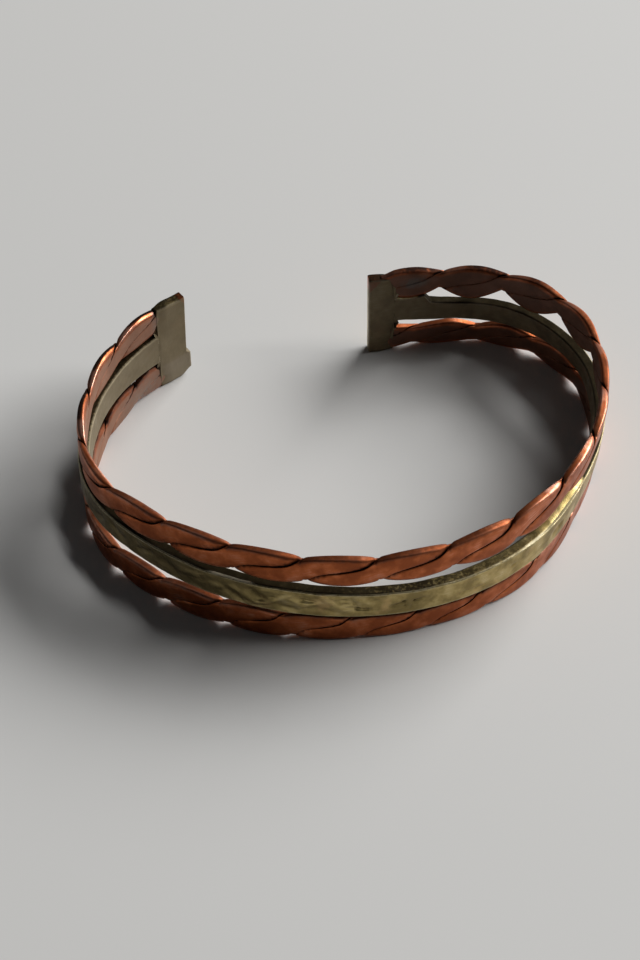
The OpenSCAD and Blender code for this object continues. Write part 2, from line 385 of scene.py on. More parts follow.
def lay_wire(name, twist, turns, rolling, side, seed):
    """One wire of a twist, from one brazed end to the other."""
    share_at_turn = [(turn, share) for share, turn in turns]
    first, last = (
        table_value(turns, 1, 100 * s / BLANK_LENGTH) for s in (WIRES_FROM, WIRES_TO)
    )
    first_ring, last_ring = (round(turn * RINGS_A_BUMP) for turn in (first, last))
    wires_start = LEFT_END + CLEARANCE
    wires_end = BLANK_LENGTH - RIGHT_END - CLEARANCE
    rings = {}
    for ring in range(first_ring, last_ring + 1):
        spot = ring / RINGS_A_BUMP
        spot -= RING_CROWDING * math.sin(2 * math.pi * spot)
        s = table_value(share_at_turn, 1, spot) * BLANK_LENGTH / 100
        low, high = eased(twist, LOW_EDGE, s), eased(twist, HIGH_EDGE, s)
        full = (high - low) / 2 * (1 - abs(uneven([(seed, *BUMPS_UNEVEN)], s)))
        notch = eased(twist, NOTCH_HEIGHT, s) / 2
        notch *= 1 + uneven([(seed + 1, *NOTCHES_UNEVEN)], s)
        in_braze = min(1, max(0, wires_start - s, s - wires_end) / BRAZED_IN)
        full *= 1 - FLATTENED * in_braze
        notch *= 1 - FLATTENED * in_braze
        rise = abs(math.sin(math.pi * spot)) ** eased(twist, SLIMNESS, s)
        half_height = notch + (full - notch) * rise
        middle = (low + high) / 2 + eased(twist, NOTCH_LIFT, s) * (1 - rise)
        angle = math.pi * spot + side + uneven([(seed + 2, *SEAM_UNEVEN)], s) * rise
        lean = rolling["slant"] * min(1, max(0, min(s - wires_start, wires_end - s)) / SLANT_START)
        # The tops get painted shade at the front and at the back; at the left end their outer half
        # does.
        before_notch = between(*BEFORE_NOTCH, spot % 1)
        before_notch *= rolling["polish"] * table_value(POLISH, 1, s)
        shaded_top = SHADED_TOPS * between(*SHADED_FRONT, s) + table_value(rolling["shaded_back"], 1, s)
        shaded_left = rolling["shaded_left"] * (1 - smooth_step(*LEFT_TOPS_SHADE_ENDS, s))
        unworn = UNWORN * max(between(*UNWORN_FRONT, s), smooth_step(*BACK_BEGINS, s))
        inside_corner = table_value(INSIDE_CORNERS, 1, s)
        rings[ring] = []
        for point, grime_and_shade, wear, top, inside in twist_section(
            half_height, notch, angle, rolling, inside_corner, seed + 3, s
        ):
            z = middle + point.y
            solder = soldered(s, point.x, z)
            # The painted shade of the tops joins the grime and painted shade of the seam.
            outer_half = max(rolling["shaded_inner_half"], smooth_step(*INNER_HALF_ENDS, point.x))
            top_shade = shaded_top + shaded_left * outer_half
            grime_and_shade = max(grime_and_shade * (1 - solder), top_shade * top * (1 - before_notch))
            marks = (grime_and_shade, wear * (1 - unworn), before_notch * top, inside, solder)
            rings[ring].append((metal(s - lean * point.y, point.x, z), s, marks))
    return tube(
        name,
        last_ring - first_ring,
        POINTS_ROUND,
        lambda row, column: rings[first_ring + row][column],
        WIRE_GIRTH,
        ("grime_and_shade", "wear", "polish", "inside", "solder"),
    )


def put_node(tree, kind, links=(), **settings):
    """Adds a node to a material: links are (socket, what feeds it or its value)."""
    made = tree.nodes.new(kind)
    for setting, value in settings.items():
        setattr(made, setting, value)
    for socket, source in links:
        if isinstance(source, bpy.types.NodeSocket):
            tree.links.new(source, made.inputs[socket])
        else:
            made.inputs[socket].default_value = source
    return made


def speckle(tree, coordinates, size_mm, detail, roughness=0.55):
    """Cloudy variation with spots of about size_mm, as a number from 0 to 1."""
    return put_node(
        tree,
        "ShaderNodeTexNoise",
        [
            ("Vector", coordinates),
            ("Scale", 1 / (size_mm * MM)),
            ("Detail", detail),
            ("Roughness", roughness),
        ],
    ).outputs["Fac"]


def spread(tree, source, low, high, to_low=0.0, to_high=1.0):
    """Stretches the range from low to high over the new range."""
    return put_node(
        tree,
        "ShaderNodeMapRange",
        [
            ("Value", source),
            ("From Min", low),
            ("From Max", high),
            ("To Min", to_low),
            ("To Max", to_high),
        ],
        interpolation_type="SMOOTHSTEP",
    ).outputs["Result"]


def times(tree, first, second, operation="MULTIPLY"):
    """One value times another, or joined to it by another operation, held between 0 and 1."""
    return put_node(
        tree, "ShaderNodeMath", [(0, first), (1, second)], operation=operation, use_clamp=True
    ).outputs["Value"]


# The colour sockets of a Mix node, by index, because its other sockets have the same names.
COLOUR_A, COLOUR_B, COLOUR_OUT = 6, 7, 2


def blended(tree, amount, first, second):
    """The second colour over the first by the amount."""
    return put_node(
        tree,
        "ShaderNodeMix",
        [("Factor", amount), (COLOUR_A, first), (COLOUR_B, second)],
        data_type="RGBA",
    ).outputs[COLOUR_OUT]


def mark(tree, name):
    """How strong one of the mesh's own marks is, from 0 to 1."""
    return put_node(tree, "ShaderNodeAttribute", attribute_name=name).outputs["Fac"]


def streaks(tree, length_mm, width_mm):
    """Fine lines that run along the wire or the strip, from its own unwrapping in mm."""
    unwrapped = put_node(tree, "ShaderNodeUVMap", uv_map="along").outputs["UV"]
    stretched = put_node(
        tree,
        "ShaderNodeMapping",
        [("Vector", unwrapped), ("Scale", (1 / length_mm, 1 / width_mm, 1))],
    ).outputs["Vector"]
    return put_node(
        tree, "ShaderNodeTexNoise", [("Vector", stretched), ("Scale", 1.0), ("Detail", 4.0)]
    ).outputs["Fac"]


def new_metal(name):
    """A new material, with its nodes, its shader and the place on the cuff in metres."""
    material = bpy.data.materials.new(name)
    material.use_nodes = True
    tree = material.node_tree
    shader = tree.nodes["Principled BSDF"]
    place = put_node(tree, "ShaderNodeTexCoord").outputs["Object"]
    return material, tree, shader, place


def relief(tree, shader, layers):
    """Stacks fine relief on the shader: each layer is its source and its depth in mm."""
    previous = None
    for source, depth_mm in layers:
        links = [("Height", source), ("Distance", depth_mm * MM), ("Strength", 1.0)]
        if previous:
            links.append(("Normal", previous))
        previous = put_node(tree, "ShaderNodeBump", links).outputs["Normal"]
    tree.links.new(previous, shader.inputs["Normal"])


# The colour that the painted shade on the inside film goes to.
FILM_SHADE_COLOUR = (0.03, 0.018, 0.012, 1)
# The film on the inside: how much it covers, how metallic it is and how much rougher.
FILM_COVERS, FILM_METALLIC, FILM_ROUGHER = 0.8, 0.2, 0.15
# Painted shade darkens it from the one place to the other, in mm along X, by this much: the inside
# at the right faces away from the window.
FILM_SHADE_FROM, FILM_SHADE_TO, FILM_SHADE = -4, 12, 0.72


def along_x(tree, place):
    """How far a place is along the long way of the cuff."""
    return put_node(tree, "ShaderNodeSeparateXYZ", [("Vector", place)]).outputs["X"]


def oxidised(tree, shader, place, colour, roughness, film, pale=0.0):
    """The skin's colour and roughness, under a dull film of oxide on the inside of the cuff, with
    painted shade on the film towards the right; a painted highlight is made dull in the same way.
    """
    inside = mark(tree, "inside")
    reach = (FILM_SHADE_FROM * MM, FILM_SHADE_TO * MM)
    film_shading = spread(tree, along_x(tree, place), *reach, 0.0, FILM_SHADE)
    film = blended(tree, film_shading, film, FILM_SHADE_COLOUR)
    skin = blended(tree, times(tree, inside, FILM_COVERS), colour, film)
    tree.links.new(skin, shader.inputs["Base Color"])
    dull = times(tree, inside, pale, "MAXIMUM")
    tree.links.new(spread(tree, dull, 0.0, 1.0, 1.0, FILM_METALLIC), shader.inputs["Metallic"])
    dull_roughness = times(tree, roughness, times(tree, dull, FILM_ROUGHER), "ADD")
    tree.links.new(dull_roughness, shader.inputs["Roughness"])


COPPER_BROWN = (0.30, 0.078, 0.026, 1)
COPPER_RED = (0.50, 0.14, 0.048, 1)
COPPER_BRIGHT = (0.93, 0.62, 0.51, 1)
COPPER_FILM = (0.22, 0.12, 0.075, 1)
COPPER_GRIME_AND_SHADE = (0.022, 0.010, 0.007, 1)
SOLDER_GREY = (0.30, 0.31, 0.30, 1)
# Sizes in mm of the copper's clouds, spots, pits and rolling lines, and the depths of its relief.
COPPER_CLOUDS, COPPER_SPOTS, COPPER_PITS = 2.6, 0.5, 0.09
COPPER_LINES = (3.0, 0.07)
COPPER_LINES_DEEP, COPPER_SPOTS_DEEP, COPPER_PITS_DEEP = 0.004, 0.012, 0.003
# Its roughness where the clouds are thin and where they are thick, and what dirt adds.
COPPER_ROUGH, COPPER_SMOOTH, DIRT_ROUGHER = 0.44, 0.32, 0.4

worn_copper, tree, shader, place = new_metal("worn_copper")
clouds = speckle(tree, place, COPPER_CLOUDS, 5.0)
spots = speckle(tree, place, COPPER_SPOTS, 3.0)
pits = speckle(tree, place, COPPER_PITS, 2.0)
lines = streaks(tree, *COPPER_LINES)
# Aged brown in clouds, and rubbed bright along the rolling lines and at the corners.
colour = blended(tree, spread(tree, clouds, 0.38, 0.62), COPPER_BROWN, COPPER_RED)
polish = times(tree, spread(tree, clouds, 0.5, 0.75), spread(tree, lines, 0.4, 0.65))
colour = blended(tree, times(tree, polish, 0.3), colour, COPPER_BRIGHT)
rubbed = times(tree, mark(tree, "wear"), spread(tree, spots, 0.35, 0.6, 0.35, 1.0))
colour = blended(tree, times(tree, rubbed, 0.5), colour, COPPER_BRIGHT)
# Polished before the notches, grey where solder ran onto it, darkened in the seams by grime and
# painted shade, and darkened on the tops by painted shade.
shine = times(tree, mark(tree, "polish"), spread(tree, spots, 0.2, 0.5, 0.5, 1.0))
colour = blended(tree, spread(tree, shine, 0.1, 0.6, 0.0, 0.8), colour, COPPER_BRIGHT)
grey = times(tree, mark(tree, "solder"), spread(tree, spots, 0.3, 0.6, 0.5, 1.0))
colour = blended(tree, spread(tree, grey, 0.1, 0.6, 0.0, 0.9), colour, SOLDER_GREY)
dirt_and_shade = times(tree, mark(tree, "grime_and_shade"), spread(tree, spots, 0.25, 0.6, 0.75, 1.0))
colour = blended(tree, spread(tree, dirt_and_shade, 0.1, 0.75), colour, COPPER_GRIME_AND_SHADE)
rough = spread(tree, clouds, 0.35, 0.7, COPPER_ROUGH, COPPER_SMOOTH)
rough = times(tree, rough, times(tree, dirt_and_shade, DIRT_ROUGHER), "ADD")
oxidised(tree, shader, place, colour, rough, COPPER_FILM)
depths = (COPPER_LINES_DEEP, COPPER_SPOTS_DEEP, COPPER_PITS_DEEP)
relief(tree, shader, zip((lines, spots, pits), depths))

HALF_TURN = math.pi
for wire, side in (("upper_wire_a", 0), ("upper_wire_b", HALF_TURN)):
    piece = lay_wire(wire + "_rolled", UPPER_TWIST, UPPER_TURNS, UPPER_ROLLING, side, UPPER_SEED)
    piece.data.materials.append(worn_copper)
    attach(piece, "root")
    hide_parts(wire)

# The lower twist: two more copper wires, twisted to the same hand but tighter at the left, and
# rolled a little narrower. The cuff stands on its bumps.
LOWER_TWIST = (
    (0, 0, 3.9, 2.4, 0.8, 0),
    (25, 0, 3.8, 2.4, 0.6, 0),
    (33, 0, 3.8, 2.5, 0.5, 0),
    (37, 0, 3.9, 2.7, 0.5, 0),
    (41, 0, 3.8, 2.7, 0.5, 0),
    (44, 0, 3.5, 2.6, 0.5, 0),
    (50, 0, 3.2, 2.4, 0.5, 0),
    (60, 0, 3.2, 2.4, 0.5, 0),
    (64, 0, 3.9, 2.5, 0.6, 0),
    (70, 0, 3.7, 2.4, 0.7, 0),
    (80, 0, 3.7, 2.3, 1, 0),
    (88, 0, 3.7, 2.3, 1, 0),
    (91, 0, 3.3, 2.2, 1, -0.3),
    (94, 0, 3.4, 2.2, 1, 0),
    (96, 0, 3.3, 2.3, 1, 0.3),
    (100, 0, 3.9, 2.4, 1, 0),
)
LOWER_TURNS = ((0, -0.3), (29.5, 6.02), (54, 11.02), (86, 17), (100, 19.7))
LOWER_SEED = 21
LOWER_ROLLING = {
    "bump_corner": 8,
    "notch_corner": 6,
    "grime_and_shade_reach": 0.1,
    "slant": 0.2,
    "polish": 0.3,
    "shaded_left": 0.8,
    "shaded_inner_half": 0.85,
    "shaded_back": ((104, 0), (112, 0.1)),
}

for wire, side in (("lower_wire_a", 0), ("lower_wire_b", HALF_TURN)):
    piece = lay_wire(wire + "_rolled", LOWER_TWIST, LOWER_TURNS, LOWER_ROLLING, side, LOWER_SEED)
    piece.data.materials.append(worn_copper)
    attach(piece, "root")
    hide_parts(wire)

# The brass strip: sheet metal of 1.4 mm, cut by hand, hammered on its outside and creased
# there. Both its ends are brazed over the twists' ends and hammered to plates of full height,
# so the copper shows in the plates' upper and lower parts.
STRIP_LOW, STRIP_HIGH = 1, 2
STRIP_EDGES = (
    (0, 4.2, 8.5),
    (5, 4.4, 8.5),
    (9, 5.1, 8.5),
    (14, 5.3, 8.6),
    (22, 5.6, 8.7),
    (26, 5.6, 8.5),
    (30, 5, 8.1),
    (34, 4.6, 8),
    (38, 4.2, 7.9),
    (42, 3.9, 7.6),
    (46, 3.6, 7.2),
    (50, 3.4, 6.9),
    (54, 3.3, 6.7),
    (58, 3.6, 6.9),
    (60, 3.4, 7.1),
    (62, 4, 7.8),
    (64, 4.4, 8.2),
    (67, 4.4, 8),
    (70, 4, 7.4),
    (74, 3.8, 6.9),
    (79, 3.8, 6.2),
    (82, 3.8, 6.1),
    (85, 3.8, 6.4),
    (88, 3.9, 6.8),
    (91, 4, 6.7),
    (94, 4.2, 6.8),
    (97, 4.8, 8.3),
    (100, 4.9, 8.5),
)
# How far the top of the strip falls outwards, beaten round, by percent along the blank.
FALL = 1
BEATEN_ROUND = (
    (57.5, 0.03),
    (59.5, 0.35),
    (61, 0.6),
    (63.5, 0.7),
    (65, 0.4),
    (66.5, 0.1),
    (70, 0.03),
)
# Where that round top is rubbed clean of tarnish and left without painted shade, so that it catches
# the window: it starts, is full, fades and ends at these mm.
UNSHADED_TOP = (88.5, 90.5, 96.5, 98.5)
# A painted highlight along the outer edge of the top, as a thin pale line: from and to mm, how
# pale.
# The line thins out over this length at its ends.
ARRIS_HIGHLIGHTS = ((31, 49.2, 0.3), (49.2, 55.8, 1), (85.5, 90, 0.45))
ARRIS_HIGHLIGHT_FEATHER = 1.5
# How dark the top and the foot of the strip are, by tarnish and painted shade, by mm along the
# blank.
RIM_TARNISH_AND_SHADE = (
    (26, 0.6),
    (34, 0.9),
    (58, 0.9),
    (66, 0.82),
    (80, 0.56),
    (89, 0.46),
    (104, 1),
    (143.6, 1),
    (144.2, 0.2),
    (146.8, 0.2),
    (147.8, 0.75),
)
# How much of that the outer edge has, and within how many mm from it the rest comes in.
EDGE_TARNISH_AND_SHADE, EDGE_TARNISH_AND_SHADE_REACH = 0.2, 0.15
# How near to the twists the strip's edges come.
TIGHTEST = 0.08
LEFT_END_TOP, RIGHT_END_TOP = 12.4, 11.8
# The left end is cut back above its tab, a little less at its top; the tab's foot is rounded.
TAB_LENGTH, TAB_TOP, CUT_AT_TOP = 0.6, 3.4, 0.3
TAB_ROUNDING = 0.8
END_THICKNESS = STRIP_THICKNESS + 0.1
ROW_STEP = 0.2
FACE_POINTS, RIM_POINTS = 30, 8
STRIP_AROUND = 2 * (FACE_POINTS + RIM_POINTS)
STRIP_GIRTH = 9
# The points of a face lie a little closer to its edges.
FACE_CROWDING = 0.05
# How far the corners' rounding reaches and how much it takes off; how far wear reaches.
ARRIS, ARRIS_CUT, STRIP_WEAR_REACH = 0.16, 0.6, 0.35
# Unevenness of the cut edges and of the ends' tops: its seed, how much and its pace in mm.
FOOT_UNEVEN = ((40, 0.06, 3), (41, 0.03, 0.9))
TOP_UNEVEN = ((42, 0.1, 3.5), (43, 0.04, 1.1))
ENDS_UNEVEN = ((44, 0.12, 1.6),)
# Dents of both faces: their pace in mm along and up, how far apart the two faces are in the
# noise, how deep they are, how much finer the small ones are and how deep those are.
DENT_LONG, DENT_TALL, FACES_APART = 2.1, 1.2, 3
DENT_DEEP, FINER, FINER_DEEP = 0.07, 2.7, 0.03
HIGHEST_DENT = 0.04
# The dents fade out beside the edges; deeper ones than this hold grime.
DENTS_START = 0.1
GRIME_DEPTH, GRIME_FOR_DEPTH, MOST_DENT_GRIME = 0.08, 3.5, 0.7
# Marks of the hammer on the outside, each a stroke from one place to another: mm along and part
# of the strip's height, twice, its width in mm, and how far it stands out, or in if below 0.
STROKES = (
    (29.0, 0.6, 31.0, 0.5, 0.5, -0.12),
    (33.5, 0.3, 35.0, 0.5, 0.4, -0.12),
    (37.0, 0.7, 38.5, 0.4, 0.5, -0.14),
    (41.0, 0.4, 42.5, 0.6, 0.4, -0.12),
    (44.5, 0.6, 46.0, 0.3, 0.5, -0.14),
    (47.5, 0.6, 48.5, 0.6, 0.3, 0.1),
    (50.5, 0.47, 51.4, 0.47, 0.35, 0.12),
    (52.2, 0.45, 53.6, 0.2, 0.4, -0.12),
    (52.8, 0.62, 53.7, 0.49, 0.22, 0.14),
    (53.7, 0.49, 55.3, 0.24, 0.22, 0.14),
    (55.3, 0.24, 56.7, 0.32, 0.22, 0.14),
    (56.7, 0.32, 58.1, 0.55, 0.22, 0.12),
    (58.1, 0.55, 59.2, 0.74, 0.22, 0.1),
    (54.8, 0.69, 56.1, 0.45, 0.45, -0.22),
    (57.1, 0.57, 57.4, 0.57, 0.16, -0.12),
    (59.1, 0.61, 60.5, 0.42, 0.25, 0.12),
    (60.5, 0.42, 62.1, 0.57, 0.25, 0.12),
    (60.5, 0.62, 61.6, 0.62, 0.22, -0.16),
    (57.8, 0.3, 59.6, 0.2, 0.4, -0.14),
    (62.1, 0.91, 62.9, 0.76, 0.25, 0.12),
    (62.9, 0.76, 63.9, 0.52, 0.25, 0.12),
    (63.9, 0.52, 65.0, 0.31, 0.25, 0.12),
    (62.2, 0.35, 63.4, 0.25, 0.35, -0.12),
    (64.6, 0.75, 65.0, 0.75, 0.13, -0.12),
    (64.9, 0.57, 65.4, 0.57, 0.13, -0.12),
    (65.4, 0.44, 65.8, 0.42, 0.13, -0.12),
    (65.8, 0.75, 66.2, 0.4, 0.35, -0.16),
    (66.2, 0.36, 67.6, 0.32, 0.18, -0.2),
    (70.1, 0.38, 71.4, 0.54, 0.18, -0.16),
    (71.4, 0.54, 71.6, 0.34, 0.2, -0.16),
    (70.4, 0.34, 71.4, 0.34, 0.15, -0.12),
    (72.2, 0.21, 72.5, 0.52, 0.2, -0.15),
    (72.5, 0.52, 73.5, 0.58, 0.15, -0.15),
    (77.8, 0.34, 78.5, 0.34, 0.15, -0.14),
    (79.5, 0.3, 80.6, 0.3, 0.15, -0.12),
    (84.3, 0.52, 84.6, 0.52, 0.16, -0.12),
    (91.0, 0.4, 92.5, 0.5, 0.4, -0.1),
    (99.0, 0.6, 101.0, 0.4, 0.5, -0.12),
    (106.0, 0.5, 107.5, 0.6, 0.4, -0.1),
    (114.0, 0.4, 116.0, 0.5, 0.5, -0.12),
    (122.0, 0.6, 123.5, 0.4, 0.4, -0.12),
    (131.0, 0.4, 132.5, 0.6, 0.5, -0.12),
    (140.0, 0.5, 141.5, 0.5, 0.4, -0.1),
    (10.0, 0.5, 11.5, 0.4, 0.5, -0.12),
    (18.0, 0.4, 20.0, 0.6, 0.5, -0.12),
    (24.5, 0.6, 25.5, 0.4, 0.4, -0.1),
)
STROKE_REACH = 3


def hammered(s, part, height):
    """How far the strokes lift the outside at s, at a part of the strip's height."""
    lift = 0
    for from_s, from_part, to_s, to_part, width, out in STROKES:
        if not from_s - STROKE_REACH * width < s < to_s + STROKE_REACH * width:
            continue
        run = Vector((to_s - from_s, (to_part - from_part) * height))
        place = Vector((s - from_s, (part - from_part) * height))
        along = min(1, max(0, place.dot(run) / run.length_squared))
        lift += out * math.exp(-(((place - run * along).length / width) ** 2))
    return lift


# From here to the right end, the braze fills the slit between the strip and the upper twist, and
# it laps up over the twist a little.
BRAZE_FILLS = (142.3, 143.3)
BRAZE_LAPS = 0.18
# How far below the twist's middle its foot lies, about, which its slant puts ahead.
MIDDLE_TO_FOOT = 1.5


def upper_twist_foot(s):
    """The lower edge of the upper twist at s, in a bump or at a notch."""
    share = 100 * (s - MIDDLE_TO_FOOT * UPPER_ROLLING["slant"]) / BLANK_LENGTH
    rise = abs(math.sin(math.pi * table_value(UPPER_TURNS, 1, share)))
    rise **= eased(UPPER_TWIST, SLIMNESS, s)
    bump, notch = eased(UPPER_TWIST, LOW_EDGE, s), eased(UPPER_TWIST, NOTCH_HEIGHT, s) / 2
    middle = (bump + eased(UPPER_TWIST, HIGH_EDGE, s)) / 2 + eased(UPPER_TWIST, NOTCH_LIFT, s)
    return bump * rise + (middle - notch) * (1 - rise)


def strip_edges(s):
    """The lower and the upper edge of the brass at s, before it is a brazed end."""
    low = eased(STRIP_EDGES, STRIP_LOW, s) + uneven(FOOT_UNEVEN, s)
    high = eased(STRIP_EDGES, STRIP_HIGH, s) + uneven(TOP_UNEVEN, s)
    low = max(low, eased(LOWER_TWIST, HIGH_EDGE, s) + TIGHTEST)
    filled = smooth_step(*BRAZE_FILLS, s)
    foot = upper_twist_foot(s) - TIGHTEST + BRAZE_LAPS * filled
    return low, min(high + (foot - high) * filled, foot)


# Within how many mm each way the strip becomes an end, and within how many mm above or below
# the strip the braze lies on a wire.
END_STEP, OVER_WIRE = 0.1, 0.6
# How far the braze thins out over the wires, over how long a stretch, and how grimy it is there.
BRAZE_THINS, BRAZE_FEATHER, BRAZE_GRIME = 0.26, 1.6, 0.3
# How far the braze runs out along the wires where it meets the strip, over how long a stretch,
# within how many mm from the strip, and how ragged its line is.
BRAZE_RUNS, BRAZE_MEETS, BRAZE_BESIDE = 1.4, 2.4, 1.2
BRAZE_RAGGED = ((50, 0.45, 0.9), (51, 0.2, 0.35))
# The foot of the right end gets painted shade up to the first height, and none from the second one.
FOOT_SHADE, FOOT_SHADE_HEIGHTS = 0.45, (0.5, 4.5)
# The cut above the left end's tab comes in between these heights above the tab's top.
CUT_STEP = (-0.1, 0.25)
# The first and the last two rows close the ends, with their edges rounded off.
END_ROWS = 3
last_strip_row = round(BLANK_LENGTH / ROW_STEP) + END_ROWS
EDGE_ROUNDED = 0.85


def round_strip(lap):
    """Where a point of the section is: its part of the height, and 1 outside to -1 inside."""
    if lap <= FACE_POINTS:
        return lap / FACE_POINTS, 1
    if lap < FACE_POINTS + RIM_POINTS:
        return 1, 1 - 2 * (lap - FACE_POINTS) / RIM_POINTS
    if lap <= 2 * FACE_POINTS + RIM_POINTS:
        return 1 - (lap - FACE_POINTS - RIM_POINTS) / FACE_POINTS, -1
    return 0, -1 + 2 * (lap - 2 * FACE_POINTS - RIM_POINTS) / RIM_POINTS


def dents(s, z, out):
    """How deep the small dents of both faces are there."""
    where = Vector((s / DENT_LONG, z / DENT_TALL, out * FACES_APART))
    return abs(noise.noise(where)) * DENT_DEEP + abs(noise.noise(where * FINER)) * FINER_DEEP


def edge_marks(s, lap, part, out, off_face):
    """How much tarnish and painted shade, and how much painted highlight, the upper and lower edges
    of the strip get.
    """
    tarnish_and_shade = arris_highlight = 0
    if part in (0, 1):
        off_outer_edge = smooth_step(0, EDGE_TARNISH_AND_SHADE_REACH, off_face)
        tarnish_and_shade = 1 if out < 0 else EDGE_TARNISH_AND_SHADE + (1 - EDGE_TARNISH_AND_SHADE) * off_outer_edge
        tarnish_and_shade *= table_value(RIM_TARNISH_AND_SHADE, 1, s)
    if lap in (FACE_POINTS, FACE_POINTS + 1):
        arris_highlight = max(
            pale * between(begin, begin + ARRIS_HIGHLIGHT_FEATHER, stop - ARRIS_HIGHLIGHT_FEATHER, stop, s)
            for begin, stop, pale in ARRIS_HIGHLIGHTS
        )
    return tarnish_and_shade * (1 - between(*UNSHADED_TOP, s)) * (1 - arris_highlight), arris_highlight


def cut_and_run(s, z, off_strip, into_braze):
    """Where a point lies along the blank, after the cut at the tab and the run of the braze."""
    # The braze ends in a ragged line, and runs out furthest beside the strip.
    run = BRAZE_RUNS * math.exp(-max(0, off_strip) / BRAZE_BESIDE) + uneven(BRAZE_RAGGED, z)
    run *= smooth_step(0, OVER_WIRE, off_strip) * max(0, 1 - abs(into_braze) / BRAZE_MEETS)
    if s >= BLANK_LENGTH / 2:
        return s - run
    cut = TAB_LENGTH + (CUT_AT_TOP - TAB_LENGTH) * (z - TAB_TOP) / (LEFT_END_TOP - TAB_TOP)
    cut *= smooth_step(*CUT_STEP, z - TAB_TOP)
    return s + run + cut * max(0, 1 - s / (2 * TAB_LENGTH))


def strip_point(row, column):
    """A point of the brass: round its section from the foot of the outside, upwards."""
    s = min(BLANK_LENGTH, max(0, ROW_STEP * (row - END_ROWS / 2)))
    strip_low, strip_high = strip_edges(s)
    at_left = s < BLANK_LENGTH / 2
    into_braze = LEFT_END - s if at_left else s - (BLANK_LENGTH - RIGHT_END)
    end = smooth_step(-END_STEP, END_STEP, into_braze)
    end_top = (LEFT_END_TOP if at_left else RIGHT_END_TOP) + uneven(ENDS_UNEVEN, s)
    low = strip_low * (1 - end) + TAB_ROUNDING * (1 - smooth_step(0, 2 * TAB_ROUNDING, s))
    high = strip_high + (end_top - strip_high) * end
    half = (STRIP_THICKNESS + (END_THICKNESS - STRIP_THICKNESS) * end) / 2
    lap = column % STRIP_AROUND
    part, out = round_strip(lap)
    top = high - eased(BEATEN_ROUND, FALL, s) * ((1 + out) / 2) ** 2
    part -= FACE_CROWDING * math.sin(2 * math.pi * part)
    z = low + (top - low) * part
    n = half * out
    off_face = half - abs(n)
    off_edge = min(z - low, top - z)
    rounding = ARRIS_CUT * max(0, ARRIS - off_face) * max(0, ARRIS - off_edge) / ARRIS
    n -= math.copysign(rounding, n)
    z -= math.copysign(rounding, part - 0.5)
    off_strip = max(z - strip_high, strip_low - z)
    braze_edge = end * smooth_step(0, OVER_WIRE, off_strip)
    braze_edge *= 1 - smooth_step(0, BRAZE_FEATHER, into_braze)
    n *= 1 - BRAZE_THINS / half * braze_edge
    grime_and_shade = BRAZE_GRIME * braze_edge
    # Painted shade at the foot of the right end.
    if not at_left:
        grime_and_shade = max(grime_and_shade, FOOT_SHADE * end * (1 - smooth_step(*FOOT_SHADE_HEIGHTS, z)))
    if abs(out) == 1 and 0 < part < 1:
        body = between(0, DENTS_START, 1 - DENTS_START, 1, part)
        lift = -dents(s, z, out)
        if out > 0:
            lift += hammered(s, part, top - low)
        n += out * body * min(HIGHEST_DENT, lift)
        dirty = min(MOST_DENT_GRIME, max(0, -lift - GRIME_DEPTH) * GRIME_FOR_DEPTH)
        grime_and_shade = max(grime_and_shade, dirty * body)
    wear = max(0, 1 - math.hypot(off_face, off_edge) / STRIP_WEAR_REACH)
    tarnish_and_shade, arris_highlight = edge_marks(s, lap, part, out, off_face)
    inside = 1 if out == -1 else 0
    from_end = min(row, last_strip_row - row)
    n *= (0, EDGE_ROUNDED)[from_end] if from_end < 2 else 1
    marks = (grime_and_shade, wear, tarnish_and_shade, arris_highlight, inside, end_copper(s, z), end_tin(s, z))
    return metal(cut_and_run(s, z, off_strip, into_braze), n, z), s, marks


# The copper in the ends begins at this height at the end's edge, rises by this much for each mm
# away from it, and comes in over this height: at the left end, and at the right end.
LEFT_COPPER_FROM, LEFT_COPPER_RISE, LEFT_COPPER_FEATHER = 11.2, 0.8, (0, 0.8)
RIGHT_COPPER_FROM, RIGHT_COPPER_RISE, RIGHT_COPPER_FEATHER = 9.4, 1.2, (0.2, 1.2)
COPPER_RAGGED = ((52, 0.4, 1.1),)
# The pale end of the lower twist fades out between these heights, and between these distances
# from the left end's edge.
TIN_TOP, TIN_LENGTH = (3.2, 3.8), (3.6, 4.4)


def end_copper(s, z):
    """How much of the wires' own copper shows in the brazed ends."""
    z += uneven(COPPER_RAGGED, s + z)
    if s < BLANK_LENGTH / 2:
        return smooth_step(*LEFT_COPPER_FEATHER, z - LEFT_COPPER_FROM - LEFT_COPPER_RISE * s)
    rise = RIGHT_COPPER_RISE * (BLANK_LENGTH - s)
    return smooth_step(*RIGHT_COPPER_FEATHER, z - RIGHT_COPPER_FROM - rise)


def end_tin(s, z):
    """The pale hammered end of the lower twist, at the left."""
    return (1 - smooth_step(*TIN_TOP, z)) * (1 - smooth_step(*TIN_LENGTH, s))


BRASS_DULL = (0.27, 0.205, 0.08, 1)
BRASS_OLIVE = (0.47, 0.36, 0.145, 1)
BRASS_BRIGHT = (0.85, 0.76, 0.52, 1)
BRASS_HIGHLIGHT = (0.95, 0.88, 0.66, 1)
BRASS_TARNISH_AND_SHADE = (0.014, 0.010, 0.005, 1)
BRASS_SHADED_OUTSIDE = (0.075, 0.058, 0.034, 1)
BRASS_FILM = (0.175, 0.135, 0.075, 1)
BRASS_WARM = (0.62, 0.42, 0.19, 1)
BRASS_GRIME_AND_SHADE = (0.045, 0.036, 0.016, 1)
END_TIN = (0.52, 0.46, 0.37, 1)
